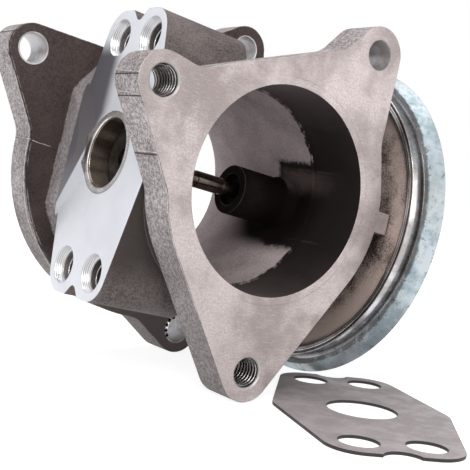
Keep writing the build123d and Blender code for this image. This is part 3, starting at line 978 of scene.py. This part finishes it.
flangeThreads = {
    "holes": ((-42.2, 17.3), (3.2, -48.2)), "start": 0.9,
    "pitch": 1.25, "turns": 8, "radius": 3.92, "wire": 0.50, "spread": 0.62,
    "crest": 0.00350, "root": 0.00385,
}
ridges = bmesh.new()
for holeX, holeZ in flangeThreads["holes"]:
    screwThread(
        ridges, (holeX, flangeThreads["start"], holeZ), (0, 1, 0), flangeThreads["radius"],
        flangeThreads["wire"], 4, flangeThreads["pitch"], flangeThreads["turns"],
        flangeThreads["spread"],
    )
threadAlloy = threadMaterial("threadAlloy", False, flangeThreads["crest"], flangeThreads["root"])
flangeThreadRidges = finishPiece(ridges, "flangeThreads", threadAlloy, "housing")
print("flange threads made")


# the two pieces that change shape as the stem lifts
springForm = {
    "start": 51.12, "end": 65.38, "turns": 3, "radius": 15.0, "wire": 0.9, "stemY": 36.0,
}
coil = bmesh.new()
springPitch = (springForm["end"] - springForm["start"]) / springForm["turns"]
screwThread(
    coil, (springForm["start"], springForm["stemY"], 0.0), (1, 0, 0), springForm["radius"],
    springForm["wire"], 12, springPitch, springForm["turns"],
)
liftSpring = makePiece(coil, "liftSpring", madeMetals["springSteel"])
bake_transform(liftSpring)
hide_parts("return_spring")
print("spring made")

# The rubber is in wedges round the stem, each reaching from the plates to the clamped bead
rubberForm = {
    "profile": (
        # along the stem, from its axis
        (48.2, 2.5), (48.2, 26.84), (50.2, 31.16), (50.8, 33.0), (50.4, 35.05), (47.4, 38.29),
        (45.6, 39.9), (45.6, 46.1), (47.3, 46.1), (47.3, 41.4), (48.3, 39.15), (51.3, 36.02),
        (51.9, 33.0), (51.2, 30.19), (49.2, 27.38), (49.2, 2.5),
    ),
    "wedges": 16, "gap": 0.05, "still": 28.5, "held": 37.6, "stemY": 36.0,
}


def rubberWedge(number):
    form = rubberForm
    span = 360 / form["wedges"]
    first = Matrix.Rotation(math.radians(number * span + form["gap"]), 4, "X")
    centre = Vector((0, form["stemY"], 0))
    mesh = bmesh.new()
    corners = [mesh.verts.new(centre + first @ Vector((x, out, 0))) for x, out in form["profile"]]
    face = mesh.faces.new(corners)
    bmesh.ops.subdivide_edges(mesh, edges=list(face.edges)[1:14], cuts=3)
    section = list(mesh.verts) + list(mesh.edges) + list(mesh.faces)
    bmesh.ops.spin(
        mesh, geom=section, cent=centre, axis=(1, 0, 0),
        angle=math.radians(span - 2 * form["gap"]), steps=6, use_duplicate=False,
    )
    bmesh.ops.holes_fill(mesh, edges=[edge for edge in mesh.edges if edge.is_boundary], sides=0)
    wedge = makePiece(mesh, f"rubberWedge{number + 1:02d}", softRubber)
    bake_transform(wedge)
    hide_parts("diaphragm")


for number in range(rubberForm["wedges"]):
    rubberWedge(number)
print("diaphragm made")


# flash: thin raised lines left where the die's halves met, and beside the gate
flashLines = [
    # from, to (mm, casting axes), the way to the wall, width, height
    ((-80.0, 0.35, 0.2), (-80.0, 11.2, 0.2), (1, 0, 0), 0.34, 0.42),
    ((-80.0, 0.35, 17.1), (-80.0, 11.2, 17.7), (1, 0, 0), 0.26, 0.26),
    ((-80.0, 0.35, 12.1), (-80.0, 11.2, 13.0), (1, 0, 0), 0.26, 0.26),
    ((-80.0, 60.9, -0.5), (-80.0, 71.6, -0.3), (1, 0, 0), 0.30, 0.32),
    ((-44.6, 45.0, -0.7), (-38.6, 45.0, -1.0), (0, 1, 0), 0.22, 0.20),
    ((-80.0, 61.5, 17.0), (-80.0, 61.5, -36.0), (1, 0, 0), 0.24, 0.16),
    ((-80.0, 0.28, 9.5), (-80.0, 0.28, -46.0), (1, 0, 0), 0.30, 0.14),
    ((-30.0, 0.28, 80.0), (13.0, 0.28, 80.0), (0, 0, -1), 0.30, 0.16),
]
depsgraph = bpy.context.evaluated_depsgraph_get()
castingTree = BVHTree.FromObject(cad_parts["duct_casting"], depsgraph)


# Where a ray meets the casting, in mm on the casting's own axes
def wallAt(start, way):
    turn = Matrix.Rotation(lean, 4, "Y")
    hit = castingTree.ray_cast((turn @ Vector(start)) * mm, turn @ Vector(way))[0]
    return None if hit is None else turn.inverted() @ (hit / mm)


# A low half-round ridge that follows the wall from first to last
def flashRidge(mesh, first, last, way, width, height):
    first, last, way = Vector(first), Vector(last), Vector(way)
    steps = max(6, round((last - first).length / 0.5))
    spots = []
    for step in range(steps + 1):
        spot = wallAt(first.lerp(last, step / steps), way)
        if spot is not None:
            spots.append(spot)
    along = (last - first).normalized()
    turn = Matrix((way, along.cross(way), along)).transposed().to_4x4()
    size = Matrix.Diagonal((height, width / 2, 1.0, 1.0))
    place = Matrix.Translation(spots[0]) @ turn @ size
    made = bmesh.ops.create_circle(mesh, cap_ends=True, segments=8, radius=1.0, matrix=place)
    face = made["verts"][0].link_faces[0]
    side = along.cross(way)
    for before, spot in zip(spots, spots[1:]):
        grown = bmesh.ops.extrude_face_region(mesh, geom=[face, *face.edges, *face.verts])["geom"]
        verts = [part for part in grown if isinstance(part, bmesh.types.BMVert)]
        face = [part for part in grown if isinstance(part, bmesh.types.BMFace)][0]
        shift = spot - before + side * dice.uniform(-0.05, 0.05)
        shift -= way * dice.uniform(-0.06, 0.06)
        bmesh.ops.translate(mesh, verts=verts, vec=shift)


def roughBall(mesh, spot, size, rough):
    place = Matrix.Translation(spot)
    ball = bmesh.ops.create_icosphere(mesh, subdivisions=2, radius=size, matrix=place)["verts"]
    for vert in ball:
        vert.co += Vector([dice.uniform(-rough, rough) for _ in range(3)])


flash = bmesh.new()
for first, last, way, width, height in flashLines:
    flashRidge(flash, first, last, way, width, height)
tabLump = {"spot": (40.9, 1.7, -1.9), "size": 0.75, "rough": 0.16}
roughBall(flash, tabLump["spot"], tabLump["size"], tabLump["rough"])
castFlash = finishPiece(flash, "castFlash", madeMetals["flashAlloy"], "housing")
print("casting flash made")

holeTeeth = {
    "hole": (19.4, 61.0, -45.9), "radius": 4.2, "angles": (125, 148, 171, 196, 220),
    "size": 0.75, "rough": 0.14,
}
teeth = bmesh.new()
for angle in holeTeeth["angles"]:
    turn = Matrix.Rotation(math.radians(-angle), 4, "Y")
    spot = Vector(holeTeeth["hole"]) + turn @ Vector((holeTeeth["radius"], 0, 0))
    roughBall(teeth, spot, holeTeeth["size"], holeTeeth["rough"])
holeFlash = finishPiece(teeth, "holeFlash", madeMetals["sootySteel"], "housing")
print("flash in the low rear hole made")


# stage, light and camera
def shaderMix(factor, first, second):
    node = newNode("MixShader")
    for number, value in enumerate((factor, first, second)):
        plug(node.inputs[number], value)
    return output(node, 0)


def makeFloor():
    mesh = bmesh.new()
    bmesh.ops.create_grid(mesh, x_segments=1, y_segments=1, size=3.0)
    data = bpy.data.meshes.new("floorMesh")
    mesh.to_mesh(data)
    mesh.free()
    data.transform(Matrix.Translation((0, 0, tableTop - 0.0001)))
    floor = bpy.data.objects.new("floor", data)
    bpy.context.scene.collection.objects.link(floor)
    mat, shader = startMaterial("floorPaint")
    shader.inputs["Base Color"].default_value = (0.93, 0.93, 0.93, 1)
    shader.inputs["Roughness"].default_value = 0.9
    light = newNode("Emission")
    light.inputs["Strength"].default_value = 1.46
    path = newNode("LightPath")
    seen = anyOf(output(path, "Is Camera Ray"), output(path, "Is Glossy Ray") * 0.8)
    mixed = shaderMix(seen * 0.6, output(shader, 0), output(light, 0))
    plug(paint["tree"].nodes["Material Output"].inputs["Surface"], mixed)
    data.materials.append(mat)


# where the studio is dark behind the valve, beside it and above it, by a direction's three parts
studioDark = {
    "behind": (-0.80, -0.62),
    "behindTop": (0.27, 0.20),
    "behindFoot": (-0.02, 0.08),
    "behindSide": (0.3, 0.6),
    "beside": (0.55, 0.75),
    "besideEnd": (0.1, -0.2),
    "overFoot": (0.42, 0.55),
    "overTop": (0.86, 0.74),
    "screen": (0.98, 0.98, 1.0, 1),
    "gap": (0.085, 0.08, 0.09, 1),
}


# White to the camera; metal also sees the dark gaps between a studio's screens
def makeWorld():
    world = bpy.data.worlds.new("studio")
    bpy.context.scene.world = world
    world.use_nodes = True
    paint["tree"] = world.node_tree
    back = world.node_tree.nodes["Background"]
    back.inputs["Color"].default_value = (0.93, 0.95, 1.0, 1)
    back.inputs["Strength"].default_value = 0.34
    east, north, height = splitVector(output(newNode("TexCoord"), "Generated"))
    behind = allOf(
        ramp(height + east * 1.8, *studioDark["behind"]), ramp(height, *studioDark["behindTop"]),
        ramp(height, *studioDark["behindFoot"]), ramp(north, *studioDark["behindSide"]),
    )
    beside = allOf(ramp(east, *studioDark["beside"]), ramp(north, *studioDark["besideEnd"]), 0.75)
    over = allOf(ramp(height, *studioDark["overFoot"]), ramp(height, *studioDark["overTop"]), 0.6)
    studio = newNode("Background")
    dark = anyOf(behind, beside, over)
    plug(studio.inputs["Color"], colourMix(dark, studioDark["screen"], studioDark["gap"]))
    white = newNode("Background")
    white.inputs["Color"].default_value = (1, 1, 1, 1)
    path = newNode("LightPath")
    mirror = anyOf(output(path, "Is Glossy Ray"), output(path, "Is Transmission Ray"))
    mirrored = shaderMix(mirror, output(back, 0), output(studio, 0))
    seen = shaderMix(output(path, "Is Camera Ray"), mirrored, output(white, 0))
    plug(world.node_tree.nodes["World Output"].inputs["Surface"], seen)


def softLamp(name, place, aim, width, height, power, colour=(1, 1, 1), mirrored=True):
    data = bpy.data.lights.new(name, "AREA")
    data.shape = "RECTANGLE"
    data.size = width
    data.size_y = height
    data.energy = power
    data.color = colour
    lamp = bpy.data.objects.new(name, data)
    lamp.location = place
    lamp.rotation_euler = (Vector(aim) - Vector(place)).to_track_quat("-Z", "Y").to_euler()
    lamp.visible_glossy = mirrored
    bpy.context.scene.collection.objects.link(lamp)


# the left lamp isn't mirrored, because the inlet face would turn white from that side
lamps = {
    "keyLamp": {
        "place": (-0.55, -0.75, 0.75), "aim": (0, 0.03, 0), "width": 0.7, "height": 0.7,
        "power": 9.0, "colour": (1.0, 0.985, 0.96),
    },
    "leftLamp": {
        "place": (-1.0, 0.1, 0.15), "aim": (0, 0.04, 0), "width": 0.6, "height": 0.9,
        "power": 5.0, "colour": (0.94, 0.97, 1.0), "mirrored": False,
    },
    "rightLamp": {
        "place": (0.75, -0.7, 0.35), "aim": (0.03, 0.03, 0), "width": 0.5, "height": 0.7, "power": 2.5,
    },
    "topLamp": {
        "place": (0.1, 0.2, 1.0), "aim": (0, 0.04, 0), "width": 0.8, "height": 0.8, "power": 5.0,
    },
}
makeFloor()
makeWorld()
for name, form in lamps.items():
    softLamp(name, **form)

# as solved from the photo's round edges
photoView = {
    "place": (-0.160449, -0.202061, 0.004196),
    "turn": (86.26361, -6.51324, -35.62820),
    "sensor": 36.0,
    "lens": 75.305,
}
camera = bpy.data.objects.new("photoCamera", bpy.data.cameras.new("photoCamera"))
camera.location = photoView["place"]
camera.rotation_euler = [math.radians(angle) for angle in photoView["turn"]]
camera.data.sensor_width = photoView["sensor"]
camera.data.lens = photoView["lens"]
camera.data.clip_start = 0.01
bpy.context.scene.collection.objects.link(camera)
bpy.context.scene.camera = camera

bpy.context.scene.view_settings.view_transform = "Standard"
print("stage, lamps and camera placed")
